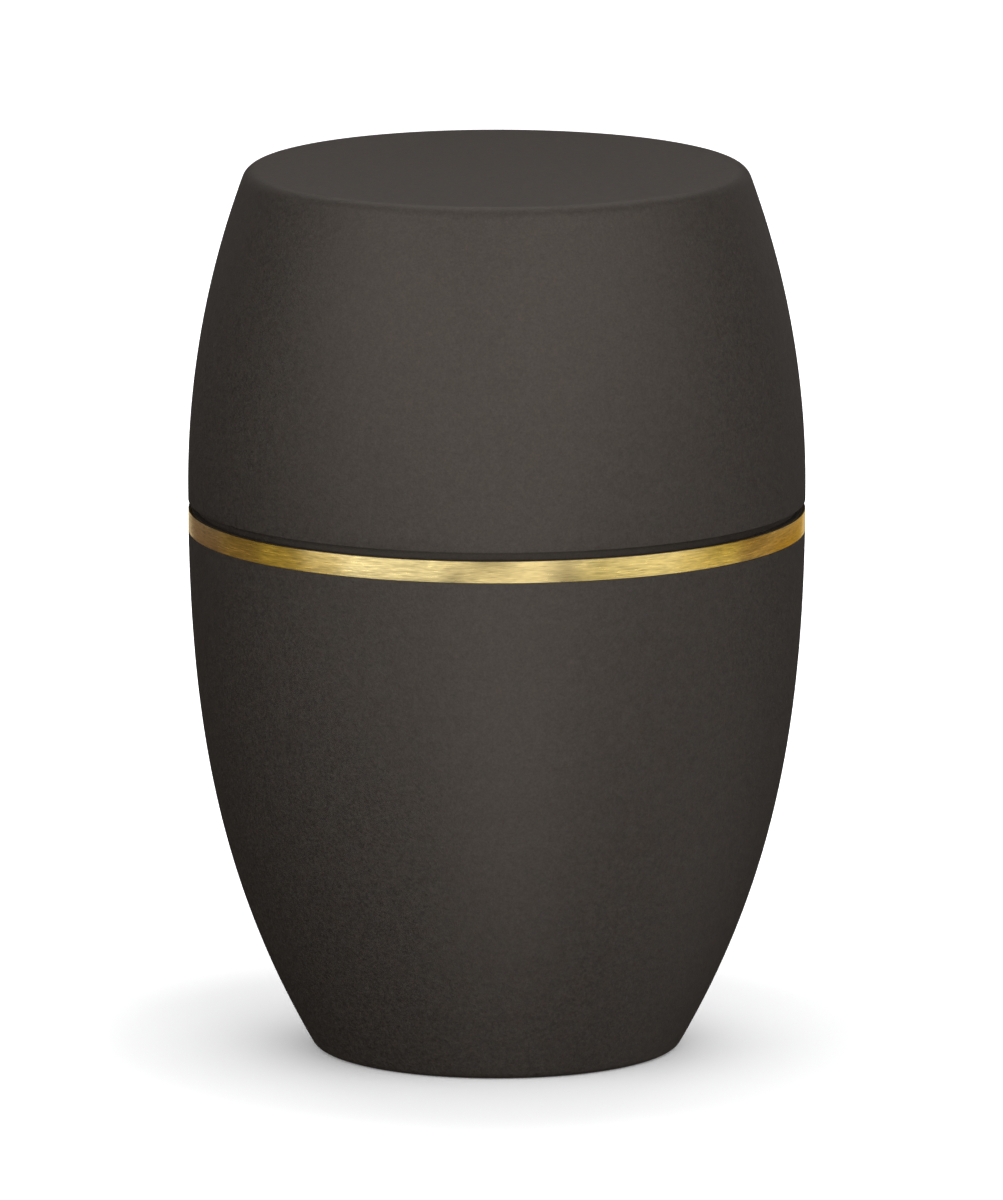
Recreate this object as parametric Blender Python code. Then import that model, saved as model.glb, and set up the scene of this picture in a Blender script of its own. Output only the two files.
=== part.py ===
"""A cremation urn in three turned pieces: a vessel, the brass band let into its rim, and a lid that lifts off.

Metres, +Z up. The origin is the middle of the underside, and every piece is turned about the Z axis.
A half section is a list of (radius, height) points. It runs from the axis along the inside, over the edge and
down the outside, so that the turned faces point outwards.
"""

import math

import bmesh
import bpy
from mathutils import Vector

# Overall form
HEIGHT = 0.290
JOINT_HEIGHT = 0.180
SHADOW_GAP = 0.0028
WALL = 0.003

# Lid: its wall bulges as one arc, and its top is very slightly crowned
LID_RADIUS = 0.100
LID_BULGE_RADIUS = 0.290
WIDEST_ABOVE_JOINT = 0.005
CROWN_RADIUS = 1.800
LID_TOP_EDGE = 0.005
LID_INSIDE_EDGE = 0.003

# Brass band: a flat strip rolled into a ring, flush with the vessel's rim, just inside the lid's radius
LID_OVERHANG = 0.0001
BAND_HEIGHT = 0.007
BAND_THICKNESS = 0.001
BAND_EDGE = 0.0002

# Vessel: its wall leans in a little at the rim and much more at the foot, and stands on a flat ring
RIM_LEAN = math.radians(1.0)
FOOT_RADIUS = 0.059
FOOT_LEAN = math.radians(30.0)
WALL_FULLNESS = 0.373
FOOT_EDGE = 0.004
FOOT_RING_WIDTH = 0.008
FOOT_RECESS = 0.0015
FLOOR = 0.004
FLOOR_CORNER = 0.008

# Neck: it rises behind the band and a narrow ledge, and the lid fits over it
LEDGE = 0.0015
NECK_HEIGHT = 0.012
NECK_WALL = 0.003
NECK_LEAD = 0.0008
NECK_ROOT = 0.004
NECK_ROOT_LEAN = math.radians(40.0)

# Seat: the thicker ring inside the lid, which sits on the neck
SEAT_WIDTH = 0.004
SEAT_HEIGHT = 0.004
SEAT_LEAN = math.radians(35.0)

# Clearances and small edges
FIT_CLEARANCE = 0.0004
CONTACT_GAP = 0.0003
EDGE_BREAK = 0.0004

# Facets
TURN_STEPS = 60
WALL_STEPS = 9
INSIDE_STEPS = 7
CROWN_STEPS = 3
EDGE_STEPS = 4

# Levels and radii that follow from the sizes above
RIM_RADIUS = LID_RADIUS - LID_OVERHANG
BAND_TOP = JOINT_HEIGHT - SHADOW_GAP
BAND_BOTTOM = BAND_TOP - BAND_HEIGHT
BAND_INSIDE = RIM_RADIUS - BAND_THICKNESS
SHOULDER = BAND_BOTTOM - CONTACT_GAP
BAND_SEAT = BAND_INSIDE - CONTACT_GAP
NECK_OUTSIDE = BAND_SEAT - LEDGE
NECK_INSIDE = NECK_OUTSIDE - NECK_WALL
NECK_TOP = BAND_TOP + NECK_HEIGHT
FLOOR_LEVEL = FOOT_RECESS + FLOOR
SOCKET_RADIUS = NECK_OUTSIDE + FIT_CLEARANCE
SEAT_LEVEL = NECK_TOP + CONTACT_GAP
SEAT_INSIDE = SOCKET_RADIUS - SEAT_WIDTH


def spread(low, high, steps):
    """The steps + 1 evenly spaced values from low to high."""
    return [low + (high - low) * i / steps for i in range(steps + 1)]


def crossing(side):
    """The value between 0 and 1 at which side() turns from negative to positive."""
    low, high = 0.0, 1.0
    for _ in range(50):
        middle = (low + high) / 2
        if side(middle) < 0:
            low = middle
        else:
            high = middle
    return low


def inside_of(point, normal, depth):
    """The point moved inwards by depth, against a normal given as its angle above the horizontal."""
    return point[0] - depth * math.cos(normal), point[1] - depth * math.sin(normal)


def arc(centre, radius, start, end):
    """Points on an arc, from one normal's angle to another's."""
    return [inside_of(centre, angle, -radius) for angle in spread(start, end, EDGE_STEPS)]


def vessel_wall(share):
    """A point of the vessel's outer wall and its normal's angle, from the foot (0) to the rim (1)."""
    reach = WALL_FULLNESS * SHOULDER
    foot = Vector((FOOT_RADIUS, 0.0))
    low = foot + reach * Vector((math.sin(FOOT_LEAN), math.cos(FOOT_LEAN)))
    rim = Vector((RIM_RADIUS, SHOULDER))
    high = rim - reach * Vector((math.sin(RIM_LEAN), math.cos(RIM_LEAN)))
    rest = 1 - share
    point = foot * rest**3 + low * 3 * rest**2 * share + high * 3 * rest * share**2 + rim * share**3
    along = (low - foot) * rest**2 + (high - low) * 2 * rest * share + (rim - high) * share**2
    return tuple(point), math.atan2(-along.x, along.y)


def lid_wall(share):
    """A point of the lid's outer wall and its normal's angle, from the lower edge (0) to the top's level (1)."""
    widest = JOINT_HEIGHT + WIDEST_ABOVE_JOINT
    level = JOINT_HEIGHT + share * (HEIGHT - JOINT_HEIGHT)
    normal = math.asin((level - widest) / LID_BULGE_RADIUS)
    radius = LID_RADIUS - LID_BULGE_RADIUS * (1 - math.cos(normal))
    return (radius, level), normal


def crown(radius, depth):
    """The level of the surface that lies depth under the lid's top, and its normal's angle."""
    curve = CROWN_RADIUS - depth
    normal = math.acos(radius / curve)
    return HEIGHT - CROWN_RADIUS + curve * math.sin(normal), normal


def lid_shell(depth, edge, start, steps):
    """The surface that lies depth inside the lid, up its wall, round the top edge and over the crown to the axis."""

    def edge_centre(share):
        return inside_of(*lid_wall(share), depth + edge)

    def above_crown(share):
        radius, level = edge_centre(share)
        return level - crown(radius, depth + edge)[0]

    turn = crossing(above_crown)
    centre = edge_centre(turn)
    wall = [inside_of(*lid_wall(share), depth) for share in spread(start, turn, steps)]
    corner = arc(centre, edge, lid_wall(turn)[1], crown(centre[0], depth + edge)[1])
    cap = [(radius, crown(radius, depth)[0]) for radius in spread(corner[-1][0], 0.0, CROWN_STEPS)]
    return wall + corner[1:] + cap[1:]


def lid_section():
    def above_seat(share):
        radius, level = inside_of(*lid_wall(share), WALL)
        return level - SEAT_LEVEL - SEAT_HEIGHT - (radius - SEAT_INSIDE) / math.tan(SEAT_LEAN)

    inside = lid_shell(WALL, LID_INSIDE_EDGE, crossing(above_seat), INSIDE_STEPS)
    seat_and_socket = [
        (SEAT_INSIDE, SEAT_LEVEL + SEAT_HEIGHT),
        (SEAT_INSIDE, SEAT_LEVEL),
        (SOCKET_RADIUS, SEAT_LEVEL),
        (SOCKET_RADIUS, JOINT_HEIGHT + EDGE_BREAK),
        (SOCKET_RADIUS + EDGE_BREAK, JOINT_HEIGHT),
    ]
    lower_edge = lid_wall(0.0)[0][0]
    edge = [
        (lower_edge - EDGE_BREAK, JOINT_HEIGHT),
        (lower_edge, JOINT_HEIGHT + EDGE_BREAK),
    ]
    widest = WIDEST_ABOVE_JOINT / (HEIGHT - JOINT_HEIGHT)
    outside = lid_shell(0.0, LID_TOP_EDGE, widest, WALL_STEPS)
    return inside[::-1] + seat_and_socket + edge + outside


def band_section():
    """A closed loop."""
    corners = [
        (BAND_INSIDE, BAND_BOTTOM),
        (RIM_RADIUS - BAND_EDGE, BAND_BOTTOM),
        (RIM_RADIUS, BAND_BOTTOM + BAND_EDGE),
        (RIM_RADIUS, BAND_TOP - BAND_EDGE),
        (RIM_RADIUS - BAND_EDGE, BAND_TOP),
        (BAND_INSIDE, BAND_TOP),
    ]
    return corners + corners[:1]


def vessel_section():
    root_level = SHOULDER - NECK_ROOT

    def corner_centre(share):
        return inside_of(*vessel_wall(share), WALL + FLOOR_CORNER)

    def above_root(share):
        radius, level = inside_of(*vessel_wall(share), WALL)
        return level - root_level + (radius - NECK_INSIDE) / math.tan(NECK_ROOT_LEAN)

    floor_turn = crossing(lambda share: corner_centre(share)[1] - FLOOR_LEVEL - FLOOR_CORNER)
    side = vessel_wall(floor_turn)[1]
    floor = [(0.0, FLOOR_LEVEL)] + arc(corner_centre(floor_turn), FLOOR_CORNER, -math.pi / 2, side)
    inside = [
        inside_of(*vessel_wall(share), WALL)
        for share in spread(floor_turn, crossing(above_root), INSIDE_STEPS)
    ]
    neck_and_rim = [
        (NECK_INSIDE, root_level),
        (NECK_INSIDE, NECK_TOP - EDGE_BREAK),
        (NECK_INSIDE + EDGE_BREAK, NECK_TOP),
        (NECK_OUTSIDE - NECK_LEAD, NECK_TOP),
        (NECK_OUTSIDE, NECK_TOP - NECK_LEAD),
        (NECK_OUTSIDE, BAND_TOP),
        (BAND_SEAT, BAND_TOP),
        (BAND_SEAT, SHOULDER),
        (RIM_RADIUS - EDGE_BREAK, SHOULDER),
    ]

    def edge_centre(share):
        return inside_of(*vessel_wall(share), FOOT_EDGE)

    rim_turn = crossing(lambda share: vessel_wall(share)[0][1] - SHOULDER + EDGE_BREAK)
    foot_turn = crossing(lambda share: edge_centre(share)[1] - FOOT_EDGE)
    outside = [vessel_wall(share)[0] for share in spread(rim_turn, foot_turn, WALL_STEPS)]
    foot = arc(edge_centre(foot_turn), FOOT_EDGE, vessel_wall(foot_turn)[1], -math.pi / 2)
    ring_inside = foot[-1][0] - FOOT_RING_WIDTH
    underside = [(ring_inside, 0.0), (ring_inside - FOOT_RECESS, FOOT_RECESS), (0.0, FOOT_RECESS)]
    return floor + inside[1:] + neck_and_rim + outside + foot[1:] + underside


def material(name, colour, roughness, metallic):
    made = bpy.data.materials.new(name)
    made.use_nodes = True
    shader = made.node_tree.nodes["Principled BSDF"]
    shader.inputs["Base Color"].default_value = (*colour, 1.0)
    shader.inputs["Roughness"].default_value = roughness
    shader.inputs["Metallic"].default_value = metallic
    made.diffuse_color = (*colour, 1.0)
    return made


def turned(name, section, finish):
    """Spins a half section round the Z axis into one closed piece."""
    work = bmesh.new()
    points = [work.verts.new((radius, 0.0, height)) for radius, height in section]
    edges = [work.edges.new(pair) for pair in zip(points, points[1:])]
    bmesh.ops.spin(
        work,
        geom=points + edges,
        cent=(0.0, 0.0, 0.0),
        axis=(0.0, 0.0, 1.0),
        angle=math.tau,
        steps=TURN_STEPS,
    )
    bmesh.ops.remove_doubles(work, verts=work.verts, dist=1e-6)
    bmesh.ops.recalc_face_normals(work, faces=work.faces)
    mesh = bpy.data.meshes.new(name)
    work.to_mesh(mesh)
    work.free()
    mesh.shade_smooth()
    mesh.set_sharp_from_angle(angle=math.radians(35.0))
    mesh.materials.append(finish)
    piece = bpy.data.objects.new(name, mesh)
    bpy.context.scene.collection.objects.link(piece)


def build():
    for old in list(bpy.data.objects):
        bpy.data.objects.remove(old)
    coat = material("anthracite_matt", (0.062, 0.055, 0.048), 0.6, 0.0)
    brass = material("brushed_brass", (0.73, 0.53, 0.20), 0.28, 1.0)
    turned("vessel", vessel_section(), coat)
    turned("brass_band", band_section(), brass)
    turned("lid", lid_section(), coat)


build()
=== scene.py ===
"""The looks of a cremation urn.

Its three turned pieces in their finishes, on a pale floor in soft studio light. Metres, +Z up, in the frame of
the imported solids. The camera stands on the -Y side. A half section is a list of (radius, height) points, from
the axis along the inside, over the edge and down the outside.
"""

import math

import bmesh
import bpy
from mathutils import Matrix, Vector


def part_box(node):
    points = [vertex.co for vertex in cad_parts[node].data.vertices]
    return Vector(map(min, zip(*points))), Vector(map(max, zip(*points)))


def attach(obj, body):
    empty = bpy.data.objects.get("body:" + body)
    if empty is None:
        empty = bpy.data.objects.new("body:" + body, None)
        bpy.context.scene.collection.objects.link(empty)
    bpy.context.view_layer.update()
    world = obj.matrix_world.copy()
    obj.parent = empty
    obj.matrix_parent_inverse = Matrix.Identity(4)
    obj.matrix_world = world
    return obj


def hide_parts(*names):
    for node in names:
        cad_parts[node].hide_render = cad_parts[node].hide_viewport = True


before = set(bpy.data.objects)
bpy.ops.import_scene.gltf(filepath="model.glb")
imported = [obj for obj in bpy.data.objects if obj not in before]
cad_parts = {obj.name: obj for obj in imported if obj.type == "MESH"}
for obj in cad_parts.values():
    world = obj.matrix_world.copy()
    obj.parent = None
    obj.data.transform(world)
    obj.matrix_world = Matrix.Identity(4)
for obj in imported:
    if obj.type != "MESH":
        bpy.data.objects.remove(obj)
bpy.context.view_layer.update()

# Sizes read from the solids
LID_LOW, LID_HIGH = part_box("lid")
BAND_LOW, BAND_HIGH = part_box("brass_band")
VESSEL_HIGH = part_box("vessel")[1]
HEIGHT = LID_HIGH.z
LID_RADIUS = LID_HIGH.x
JOINT_HEIGHT = LID_LOW.z
RIM_RADIUS = BAND_HIGH.x
BAND_TOP = BAND_HIGH.z
BAND_BOTTOM = BAND_LOW.z
NECK_TOP = VESSEL_HIGH.z

# Lid
WALL = 0.003
LID_BULGE_RADIUS = 0.290
WIDEST_ABOVE_JOINT = 0.005
CROWN_RADIUS = 1.800
LID_TOP_EDGE = 0.005
LID_INSIDE_EDGE = 0.003
SEAT_WIDTH = 0.004
SEAT_HEIGHT = 0.004
SEAT_LEAN = math.radians(35.0)

# Brass band
BAND_THICKNESS = 0.001
BAND_EDGE = 0.00012

# Vessel
RIM_LEAN = math.radians(1.0)
FOOT_RADIUS = 0.059
FOOT_LEAN = math.radians(30.0)
WALL_FULLNESS = 0.373
FOOT_EDGE = 0.004
FOOT_RING_WIDTH = 0.008
FOOT_RECESS = 0.0015
FLOOR = 0.004
FLOOR_CORNER = 0.008
LEDGE = 0.0015
NECK_WALL = 0.003
NECK_LEAD = 0.0008
NECK_ROOT = 0.004
NECK_ROOT_LEAN = math.radians(40.0)

# Clearances and small edges
FIT_CLEARANCE = 0.0004
CONTACT_GAP = 0.0003
BAND_GAP = 0.00005
EDGE_BREAK = 0.0004
SHARP_EDGE = 0.00015
SOFT_CORNER = 0.0015

# Fineness of the turned surfaces
TURN_STEPS = 288
WALL_STEPS = 40
INSIDE_STEPS = 24
CROWN_STEPS = 12
ARC_STEPS = 8
EDGE_STEPS = 4
MERGE_DISTANCE = 1e-6
SHARP_ANGLE = math.radians(40.0)

# Levels and radii that follow
SHOULDER = BAND_BOTTOM - BAND_GAP
BAND_INSIDE = RIM_RADIUS - BAND_THICKNESS
BAND_SEAT = BAND_INSIDE - BAND_GAP
NECK_OUTSIDE = BAND_INSIDE - CONTACT_GAP - LEDGE
NECK_INSIDE = NECK_OUTSIDE - NECK_WALL
FLOOR_LEVEL = FOOT_RECESS + FLOOR
SOCKET_RADIUS = NECK_OUTSIDE + FIT_CLEARANCE
SEAT_LEVEL = NECK_TOP + CONTACT_GAP
SEAT_INSIDE = SOCKET_RADIUS - SEAT_WIDTH

# Colours of the finishes, linear
COAT_WARM = (0.0412, 0.0335, 0.0286)
COAT_COOL = (0.0388, 0.0341, 0.0300)
COAT_GLOSS = (1.0, 0.88, 0.79, 1.0)
# Painted shade: the share of the coat's tone kept above the band, on the neck recessed in the shadow gap
NECK_PAINTED_SHADE = 0.72
BRASS_COLOUR = (0.760, 0.595, 0.265)

# The lacquer's grain, in features per metre, and how far each size of it sways the tone
FINE_GRAIN = 1900.0
COARSE_GRAIN = 900.0
CLOTS = 380.0
TINT_PATCHES = 260.0
SPECKS = 150.0
MOTTLING = 60.0
FINE_SWAY = 0.26
COARSE_SWAY = 0.32
CLOT_SWAY = 0.12
MOTTLE_SWAY = 0.03
COAT_RELIEF = 0.00008

# The brushing, in features per metre across, across and up
LONG_STREAKS = (110.0, 110.0, 2300.0)
SHORT_STREAKS = (320.0, 320.0, 2900.0)
BRASS_PATCHES = (150.0, 150.0, 700.0)
BRUSH_RELIEF = 0.00003

# Camera, lamps and stage
WHITE = (1.0, 1.0, 1.0)
LAMP_DISTANCE = 1.6
CAMERA_DISTANCE = 6.0
CAMERA_PITCH = math.radians(10.49)
CAMERA_AIM = 0.14635
FOCAL_LENGTH = 564.75
IMAGE_HEIGHT_PX = 1200
AXIS_OFF_CENTRE_PX = 4.7
CARD_ELEVATION = -10.5
CARD_TALL = 18
ROOM_COLOUR = (1.0, 0.65, 0.30, 1.0)
ROOM_STRENGTH = 0.014
STAGE_RADIUS = 25.0
FLOOR_COLOUR = (0.86, 0.865, 0.875, 1.0)
# Painted light and shade: the floor's glow, little round the urn's foot as a painted shadow and much farther
# off
FLOOR_GLOW_NEAR = 0.14
FLOOR_GLOW_FAR = 0.9
GLOW_STARTS = 0.12
GLOW_ENDS = 0.35


def spread(low, high, steps):
    """The steps + 1 evenly spaced values from low to high."""
    return [low + (high - low) * i / steps for i in range(steps + 1)]


def crossing(side):
    """The value between 0 and 1 at which side() turns from negative to positive."""
    low, high = 0.0, 1.0
    for _ in range(50):
        middle = (low + high) / 2
        if side(middle) < 0:
            low = middle
        else:
            high = middle
    return low


def inside_of(point, normal, depth):
    """The point moved inwards by depth, against a normal given as its angle above the horizontal."""
    return point[0] - depth * math.cos(normal), point[1] - depth * math.sin(normal)


def arc(centre, radius, start, end):
    """Points on an arc, from one normal's angle to another's."""
    return [inside_of(centre, angle, -radius) for angle in spread(start, end, ARC_STEPS)]


def rounded(path):
    """Rounds each corner of a path that is given as (radius, height, edge radius)."""
    made = []
    for i, (radius, level, *edge) in enumerate(path):
        corner = Vector((radius, level))
        if not edge:
            made.append(tuple(corner))
            continue
        before = (Vector(path[i - 1][:2]) - corner).normalized()
        after = (Vector(path[i + 1][:2]) - corner).normalized()
        half = before.angle(after) / 2
        centre = corner + (before + after).normalized() * edge[0] / math.sin(half)
        start = corner + before * edge[0] / math.tan(half) - centre
        end = corner + after * edge[0] / math.tan(half) - centre
        made += [tuple(centre + edge[0] * start.slerp(end, share)) for share in spread(0.0, 1.0, EDGE_STEPS)]
    return made


def vessel_wall(share):
    """A point of the vessel's outer wall and its normal's angle, from the foot (0) to the rim (1)."""
    reach = WALL_FULLNESS * SHOULDER
    foot = Vector((FOOT_RADIUS, 0.0))
    low = foot + reach * Vector((math.sin(FOOT_LEAN), math.cos(FOOT_LEAN)))
    rim = Vector((RIM_RADIUS, SHOULDER))
    high = rim - reach * Vector((math.sin(RIM_LEAN), math.cos(RIM_LEAN)))
    rest = 1 - share
    point = foot * rest**3 + low * 3 * rest**2 * share + high * 3 * rest * share**2 + rim * share**3
    along = (low - foot) * rest**2 + (high - low) * 2 * rest * share + (rim - high) * share**2
    return tuple(point), math.atan2(-along.x, along.y)


def lid_wall(share):
    """A point of the lid's outer wall and its normal's angle, from the lower edge (0) to the top (1)."""
    widest = JOINT_HEIGHT + WIDEST_ABOVE_JOINT
    level = JOINT_HEIGHT + share * (HEIGHT - JOINT_HEIGHT)
    normal = math.asin((level - widest) / LID_BULGE_RADIUS)
    radius = LID_RADIUS - LID_BULGE_RADIUS * (1 - math.cos(normal))
    return (radius, level), normal


def crown(radius, depth):
    """The level of the surface that lies depth under the lid's top, and its normal's angle."""
    curve = CROWN_RADIUS - depth
    normal = math.acos(radius / curve)
    return HEIGHT - CROWN_RADIUS + curve * math.sin(normal), normal


def lid_shell(depth, edge, start, steps):
    """The surface that lies depth inside the lid: up its wall, round the top edge and over the crown."""

    def edge_centre(share):
        return inside_of(*lid_wall(share), depth + edge)

    def above_crown(share):
        radius, level = edge_centre(share)
        return level - crown(radius, depth + edge)[0]

    turn = crossing(above_crown)
    centre = edge_centre(turn)
    wall = [inside_of(*lid_wall(share), depth) for share in spread(start, turn, steps)]
    corner = arc(centre, edge, lid_wall(turn)[1], crown(centre[0], depth + edge)[1])
    cap = [(radius, crown(radius, depth)[0]) for radius in spread(corner[-1][0], 0.0, CROWN_STEPS)]
    return wall + corner[1:] + cap[1:]


def lid_section():
    """From the axis under the crown, down the inside, round the seat and up the outside."""

    def above_seat(share):
        radius, level = inside_of(*lid_wall(share), WALL)
        return level - SEAT_LEVEL - SEAT_HEIGHT - (radius - SEAT_INSIDE) / math.tan(SEAT_LEAN)

    inside = lid_shell(WALL, LID_INSIDE_EDGE, crossing(above_seat), INSIDE_STEPS)
    widest = WIDEST_ABOVE_JOINT / (HEIGHT - JOINT_HEIGHT)
    outside = lid_shell(0.0, LID_TOP_EDGE, widest, WALL_STEPS)
    seat_and_edge = [
        (SEAT_INSIDE, SEAT_LEVEL + SEAT_HEIGHT, SOFT_CORNER),
        (SEAT_INSIDE, SEAT_LEVEL, EDGE_BREAK),
        (SOCKET_RADIUS, SEAT_LEVEL),
        (SOCKET_RADIUS, JOINT_HEIGHT, EDGE_BREAK),
        (*lid_wall(0.0)[0], SHARP_EDGE),
    ]
    return rounded(inside[::-1] + seat_and_edge + outside)


def band_section():
    """A flat strip's closed loop."""
    middle = (BAND_INSIDE, (BAND_BOTTOM + BAND_TOP) / 2)
    corners = [
        (BAND_INSIDE, BAND_BOTTOM, BAND_EDGE),
        (RIM_RADIUS, BAND_BOTTOM, BAND_EDGE),
        (RIM_RADIUS, BAND_TOP, BAND_EDGE),
        (BAND_INSIDE, BAND_TOP, BAND_EDGE),
    ]
    return rounded([middle] + corners + [middle])


def vessel_section():
    """From the axis along the floor, up the inside, over the neck and down the outside to the underside."""
    root_level = SHOULDER - NECK_ROOT

    def corner_centre(share):
        return inside_of(*vessel_wall(share), WALL + FLOOR_CORNER)

    def above_root(share):
        radius, level = inside_of(*vessel_wall(share), WALL)
        return level - root_level + (radius - NECK_INSIDE) / math.tan(NECK_ROOT_LEAN)

    floor_turn = crossing(lambda share: corner_centre(share)[1] - FLOOR_LEVEL - FLOOR_CORNER)
    side = vessel_wall(floor_turn)[1]
    floor = [(0.0, FLOOR_LEVEL)] + arc(corner_centre(floor_turn), FLOOR_CORNER, -math.pi / 2, side)
    inside = [
        inside_of(*vessel_wall(share), WALL)
        for share in spread(floor_turn, crossing(above_root), INSIDE_STEPS)
    ]
    neck_and_rim = [
        (NECK_INSIDE, root_level, SOFT_CORNER),
        (NECK_INSIDE, NECK_TOP, EDGE_BREAK),
        (NECK_OUTSIDE, NECK_TOP, NECK_LEAD),
        (NECK_OUTSIDE, BAND_TOP),
        (BAND_SEAT, BAND_TOP, SHARP_EDGE),
        (BAND_SEAT, SHOULDER),
        (RIM_RADIUS, SHOULDER, SHARP_EDGE),
    ]

    def edge_centre(share):
        return inside_of(*vessel_wall(share), FOOT_EDGE)

    rim_turn = crossing(lambda share: vessel_wall(share)[0][1] - SHOULDER + 2 * SHARP_EDGE)
    foot_turn = crossing(lambda share: edge_centre(share)[1] - FOOT_EDGE)
    outside = [vessel_wall(share)[0] for share in spread(rim_turn, foot_turn, WALL_STEPS)]
    foot = arc(edge_centre(foot_turn), FOOT_EDGE, vessel_wall(foot_turn)[1], -math.pi / 2)
    ring_inside = foot[-1][0] - FOOT_RING_WIDTH
    underside = [
        (ring_inside, 0.0, EDGE_BREAK),
        (ring_inside - FOOT_RECESS, FOOT_RECESS, EDGE_BREAK),
        (0.0, FOOT_RECESS),
    ]
    return rounded(floor + inside[1:] + neck_and_rim + outside + foot[1:] + underside)


def turned(name, section):
    """Spins a half section round the Z axis into one closed, smooth piece."""
    work = bmesh.new()
    points = [work.verts.new((radius, 0.0, height)) for radius, height in section]
    edges = [work.edges.new(pair) for pair in zip(points, points[1:])]
    bmesh.ops.spin(
        work,
        geom=points + edges,
        cent=(0.0, 0.0, 0.0),
        axis=(0.0, 0.0, 1.0),
        angle=math.tau,
        steps=TURN_STEPS,
    )
    bmesh.ops.remove_doubles(work, verts=work.verts, dist=MERGE_DISTANCE)
    bmesh.ops.recalc_face_normals(work, faces=work.faces)
    mesh = bpy.data.meshes.new(name)
    work.to_mesh(mesh)
    work.free()
    mesh.shade_smooth()
    mesh.set_sharp_from_angle(angle=SHARP_ANGLE)
    piece = bpy.data.objects.new(name, mesh)
    bpy.context.scene.collection.objects.link(piece)
    return piece


class Finish:
    """A material and short ways to add nodes to it."""

    def __init__(self, name):
        self.material = bpy.data.materials.new(name)
        self.material.use_nodes = True
        self.tree = self.material.node_tree
        self.shader = self.tree.nodes["Principled BSDF"]
        self.place = self.add("ShaderNodeTexCoord").outputs["Object"]

    def set(self, node, inputs):
        for socket, value in inputs.items():
            if isinstance(value, bpy.types.NodeSocket):
                self.tree.links.new(value, node.inputs[socket])
            else:
                node.inputs[socket].default_value = value

    def add(self, kind, inputs=None, **settings):
        node = self.tree.nodes.new(kind)
        for name, value in settings.items():
            setattr(node, name, value)
        self.set(node, inputs or {})
        return node

    def noise(self, scale, detail=2.0, stretch=(1.0, 1.0, 1.0)):
        """Noise from 0 to 1, whose features are about 1 / scale metres across before they are stretched."""
        place = self.add("ShaderNodeVectorMath", {0: self.place, 1: stretch}, operation="MULTIPLY")
        node = self.add("ShaderNodeTexNoise", {"Vector": place.outputs[0], "Scale": scale, "Detail": detail})
        return node.outputs["Fac"]

    def ranged(self, value, low, high, new_low, new_high):
        node = self.add(
            "ShaderNodeMapRange",
            {"Value": value, "From Min": low, "From Max": high, "To Min": new_low, "To Max": new_high},
        )
        return node.outputs["Result"]

    def math(self, operation, first, second):
        return self.add("ShaderNodeMath", {0: first, 1: second}, operation=operation).outputs[0]

    def mixed(self, share, first, second):
        node = self.add("ShaderNodeMix", {"Factor": share, "A": first, "B": second}, data_type="VECTOR")
        return node.outputs["Result"]

    def scaled(self, colour, factor):
        node = self.add("ShaderNodeVectorMath", {0: colour, "Scale": factor}, operation="SCALE")
        return node.outputs[0]


def coat(name, painted_neck_shade=1.0):
    """Matt lacquer in warm anthracite, with a grain of three sizes, faint mottling and a few dark specks.

    Above the band it is darkened by a painted shade, for the neck that lies recessed in the shadow gap under
    the lid.
    """
    finish = Finish(name)
    fine = finish.noise(FINE_GRAIN, detail=1.0)
    coarse = finish.noise(COARSE_GRAIN, detail=2.0)
    clots = finish.noise(CLOTS, detail=1.0)
    mottle = finish.noise(MOTTLING, detail=2.0)
    fine_tone = finish.ranged(fine, 0.3, 0.7, -FINE_SWAY, FINE_SWAY)
    coarse_tone = finish.ranged(coarse, 0.3, 0.7, -COARSE_SWAY, COARSE_SWAY)
    grain = finish.math("ADD", fine_tone, coarse_tone)
    grain = finish.math("ADD", grain, finish.ranged(clots, 0.3, 0.7, -CLOT_SWAY, CLOT_SWAY))
    tone = finish.math("ADD", grain, finish.ranged(mottle, 0.3, 0.7, 1 - MOTTLE_SWAY, 1 + MOTTLE_SWAY))
    cells = finish.add("ShaderNodeTexVoronoi", {"Vector": finish.place, "Scale": SPECKS})
    speck = finish.ranged(cells.outputs["Distance"], 0.035, 0.085, 0.75, 1.0)
    tone = finish.math("MULTIPLY", tone, speck)
    level = finish.add("ShaderNodeSeparateXYZ", {0: finish.place}).outputs["Z"]
    # Painted shade: above the band the coat is darkened, for the recessed neck in the shadow gap under the lid
    tone = finish.math("MULTIPLY", tone, finish.ranged(level, BAND_BOTTOM, BAND_TOP, 1.0, painted_neck_shade))
    coolness = finish.ranged(finish.noise(TINT_PATCHES), 0.4, 0.6, 0.0, 1.0)
    tint = finish.mixed(coolness, COAT_WARM, COAT_COOL)
    bump = finish.add(
        "ShaderNodeBump",
        {"Strength": 0.5, "Distance": COAT_RELIEF, "Height": finish.math("ADD", fine, coarse)},
    )
    finish.set(
        finish.shader,
        {
            "Base Color": finish.scaled(tint, tone),
            "Roughness": finish.ranged(coarse, 0.3, 0.7, 0.56, 0.66),
            "Specular IOR Level": 1.0,
            "Specular Tint": COAT_GLOSS,
            "Normal": bump.outputs["Normal"],
        },
    )
    return finish.material


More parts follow.
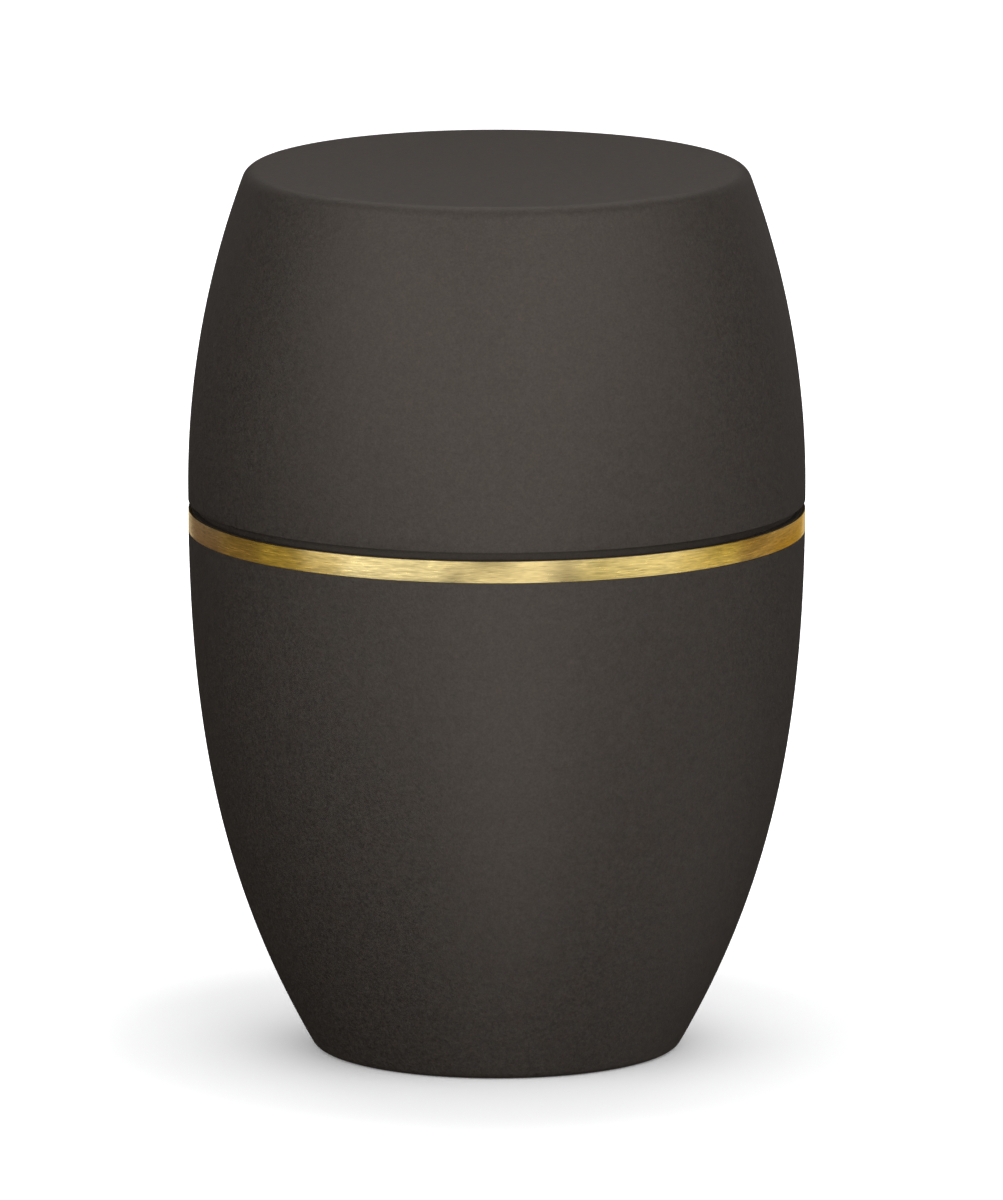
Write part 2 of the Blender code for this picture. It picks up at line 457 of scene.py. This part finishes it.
def brass():
    """Brass brushed along the band: streaks of uneven length, in tone, roughness and relief."""
    finish = Finish("brushed_brass")
    long_streaks = finish.noise(1.0, detail=2.0, stretch=LONG_STREAKS)
    short_streaks = finish.noise(1.0, detail=1.0, stretch=SHORT_STREAKS)
    patches = finish.noise(1.0, detail=2.0, stretch=BRASS_PATCHES)
    long_half = finish.math("MULTIPLY", long_streaks, 0.5)
    short_half = finish.math("MULTIPLY", short_streaks, 0.5)
    streaks = finish.math("ADD", long_half, short_half)
    streak_tone = finish.ranged(streaks, 0.35, 0.65, 0.80, 1.16)
    patch_tone = finish.ranged(patches, 0.35, 0.65, -0.06, 0.06)
    tone = finish.math("ADD", streak_tone, patch_tone)
    tangent = finish.add("ShaderNodeTangent", direction_type="RADIAL", axis="Z")
    bump = finish.add("ShaderNodeBump", {"Strength": 0.3, "Distance": BRUSH_RELIEF, "Height": streaks})
    finish.set(
        finish.shader,
        {
            "Base Color": finish.scaled(BRASS_COLOUR, tone),
            "Metallic": 1.0,
            "Roughness": finish.ranged(streaks, 0.35, 0.65, 0.37, 0.27),
            "Anisotropic": 0.9,
            "Anisotropic Rotation": 0.25,
            "Tangent": tangent.outputs[0],
            "Normal": bump.outputs["Normal"],
        },
    )
    return finish.material


def dressed(name, section, node, material):
    """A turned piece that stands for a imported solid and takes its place."""
    piece = turned(name, section)
    piece.data.materials.append(material)
    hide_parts(node)
    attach(piece, "root")
    return piece


def stage():
    """A white floor that catches the shadow and glows as painted light, dimmest round the urn's foot as a
    painted shadow, and a white backdrop that only the camera sees.
    """
    bpy.ops.mesh.primitive_circle_add(vertices=128, radius=STAGE_RADIUS, fill_type="NGON")
    floor = bpy.context.object
    floor.name = "floor"
    paper = Finish("floor_white")
    from_axis = paper.add("ShaderNodeVectorMath", {0: paper.place}, operation="LENGTH").outputs["Value"]
    # Painted light and shade: the floor glows, little round the urn's foot as a painted shadow and much farther
    # off
    glow = paper.ranged(from_axis, GLOW_STARTS, GLOW_ENDS, FLOOR_GLOW_NEAR, FLOOR_GLOW_FAR)
    paper.set(
        paper.shader,
        {
            "Base Color": FLOOR_COLOUR,
            "Roughness": 1.0,
            "Specular IOR Level": 0.0,
            "Emission Color": (1.0, 1.0, 1.0, 1.0),
            "Emission Strength": glow,
        },
    )
    floor.data.materials.append(paper.material)
    bpy.ops.mesh.primitive_uv_sphere_add(segments=48, ring_count=24, radius=STAGE_RADIUS)
    backdrop = bpy.context.object
    backdrop.name = "backdrop"
    sky = Finish("backdrop_white")
    sky.set(
        sky.shader,
        {
            "Base Color": (0.0, 0.0, 0.0, 1.0),
            "Specular IOR Level": 0.0,
            "Emission Color": (1.0, 1.0, 1.0, 1.0),
            "Emission Strength": 1.0,
        },
    )
    backdrop.data.materials.append(sky.material)
    for piece in (floor, backdrop):
        piece.visible_diffuse = False
        piece.visible_glossy = False
        piece.visible_shadow = False
    return floor


def softbox(name, azimuth, elevation, wide, tall, brightness, colour=WHITE, only=None):
    """A rectangular softbox that faces the urn, by its angles in degrees as the urn sees it.

    Azimuth 0 is the camera's side, and positive is to its right. Brightness 1 is that of white paper.
    It lights everything, or only the piece that is given. Wider ones stand farther off, so that no two lie in
    one plane.
    """
    distance = LAMP_DISTANCE * (1 + wide / 1000)
    data = bpy.data.lights.new(name, "AREA")
    data.shape = "RECTANGLE"
    data.size = 2 * distance * math.tan(math.radians(wide / 2))
    data.size_y = 2 * distance * math.tan(math.radians(tall / 2))
    data.energy = brightness * math.pi * data.size * data.size_y
    data.color = colour
    lamp = bpy.data.objects.new(name, data)
    bpy.context.scene.collection.objects.link(lamp)
    turn, rise = math.radians(azimuth), math.radians(elevation)
    towards = Vector((math.sin(turn) * math.cos(rise), -math.cos(turn) * math.cos(rise), math.sin(rise)))
    lamp.location = Vector((0.0, 0.0, HEIGHT / 2)) + towards * distance
    lamp.rotation_euler = towards.to_track_quat("Z", "Y").to_euler()
    lamp.visible_camera = False
    if only:
        lit = bpy.data.collections.new(name)
        lit.objects.link(only)
        lamp.light_linking.receiver_collection = lit
    return lamp


def room():
    """Soft studio light: from the front, from above and from the right, and faintly from behind.

    The low softboxes stand for light that a pale floor throws back.
    """
    world = bpy.data.worlds.new("studio")
    world.use_nodes = True
    world.node_tree.nodes["Background"].inputs["Color"].default_value = ROOM_COLOUR
    world.node_tree.nodes["Background"].inputs["Strength"].default_value = ROOM_STRENGTH
    bpy.context.scene.world = world
    softbox("left", azimuth=-52, elevation=6, wide=45, tall=40, brightness=0.68)
    softbox("left_high", azimuth=-52, elevation=35, wide=45, tall=32, brightness=1.34)
    softbox("front_left", azimuth=-18, elevation=10, wide=16, tall=32, brightness=1.66)
    softbox("front_right", azimuth=20, elevation=10, wide=30, tall=32, brightness=0.97)
    softbox("front_high", azimuth=20, elevation=35, wide=30, tall=32, brightness=1.42)
    softbox("front_low", azimuth=4, elevation=-15, wide=30, tall=20, brightness=1.20)
    softbox("front_foot", azimuth=5, elevation=-35, wide=30, tall=20, brightness=1.70)
    softbox("right", azimuth=62, elevation=-5, wide=40, tall=32, brightness=0.32)
    softbox("right_high", azimuth=62, elevation=28, wide=40, tall=32, brightness=1.22)
    softbox("right_foot", azimuth=88, elevation=-35, wide=40, tall=24, brightness=0.39)
    softbox("right_behind", azimuth=105, elevation=-20, wide=40, tall=30, brightness=0.17)
    softbox("above", azimuth=0, elevation=90, wide=41, tall=41, brightness=0.55)
    softbox("above_behind", azimuth=180, elevation=60, wide=50, tall=30, brightness=1.30)
    softbox("behind_right", azimuth=140, elevation=15, wide=40, tall=40, brightness=0.23)
    softbox("behind_left", azimuth=-140, elevation=15, wide=40, tall=40, brightness=0.13)
    back_fill = softbox("back_fill", azimuth=180, elevation=5, wide=70, tall=60, brightness=0.7)
    back_fill.visible_glossy = False


def band_cards(band):
    """Cards that the brass alone reflects: bright in front, and dim and warm towards the back."""

    def card(name, azimuth, wide, brightness, colour):
        softbox(name, azimuth, CARD_ELEVATION, wide, CARD_TALL, brightness, colour, band)

    card("card_front_left", azimuth=-39, wide=39, brightness=1.92, colour=(0.89, 0.94, 1.0))
    card("card_front", azimuth=-1, wide=12, brightness=0.35, colour=(1.0, 0.95, 0.80))
    card("card_left", azimuth=-78, wide=39, brightness=0.77, colour=(1.0, 0.80, 0.24))
    card("card_left_side", azimuth=-110, wide=24, brightness=0.34, colour=(1.0, 0.72, 0.30))
    card("card_left_back", azimuth=-144, wide=44, brightness=0.16, colour=(1.0, 0.62, 0.40))
    card("card_front_right", azimuth=50, wide=40, brightness=1.51, colour=(1.0, 0.97, 0.67))
    card("card_right", azimuth=85, wide=30, brightness=0.94, colour=(1.0, 0.82, 0.14))
    card("card_right_back", azimuth=133, wide=66, brightness=0.43, colour=(1.0, 0.58, 0.0))
    card("card_behind", azimuth=180, wide=40, brightness=0.6, colour=(1.0, 0.90, 0.60))


def floor_sky(floor):
    """Light that the floor alone takes. The urn's foot stands in a soft shadow, darkest at its left."""

    def sky(name, azimuth, elevation, wide, tall, brightness):
        softbox(name, azimuth, elevation, wide, tall, brightness, only=floor)

    sky("sky_near", azimuth=0, elevation=90, wide=86, tall=86, brightness=0.35)
    sky("sky", azimuth=0, elevation=90, wide=120, tall=120, brightness=0.33)
    sky("sky_right", azimuth=78, elevation=36, wide=50, tall=44, brightness=0.55)
    sky("sky_front_right", azimuth=40, elevation=50, wide=40, tall=40, brightness=0.27)
    sky("sky_front", azimuth=0, elevation=45, wide=50, tall=40, brightness=0.73)
    sky("sky_behind", azimuth=180, elevation=45, wide=60, tall=40, brightness=0.60)


def camera():
    """A long lens from in front and a little above, at the photograph's viewing angle."""
    data = bpy.data.cameras.new("camera")
    data.lens = FOCAL_LENGTH
    data.shift_x = AXIS_OFF_CENTRE_PX / IMAGE_HEIGHT_PX
    data.clip_end = 4 * STAGE_RADIUS
    view = bpy.data.objects.new("camera", data)
    bpy.context.scene.collection.objects.link(view)
    view.location = (0.0, -CAMERA_DISTANCE, CAMERA_AIM + CAMERA_DISTANCE * math.tan(CAMERA_PITCH))
    view.rotation_euler = (math.pi / 2 - CAMERA_PITCH, 0.0, 0.0)
    bpy.context.scene.camera = view


camera()
dressed("vessel_turned", vessel_section(), "vessel", coat("vessel_anthracite", NECK_PAINTED_SHADE))
dressed("lid_turned", lid_section(), "lid", coat("lid_anthracite"))
strip = dressed("brass_strip", band_section(), "brass_band", brass())
room()
band_cards(strip)
floor_sky(stage())
bpy.context.scene.view_settings.view_transform = "Standard"
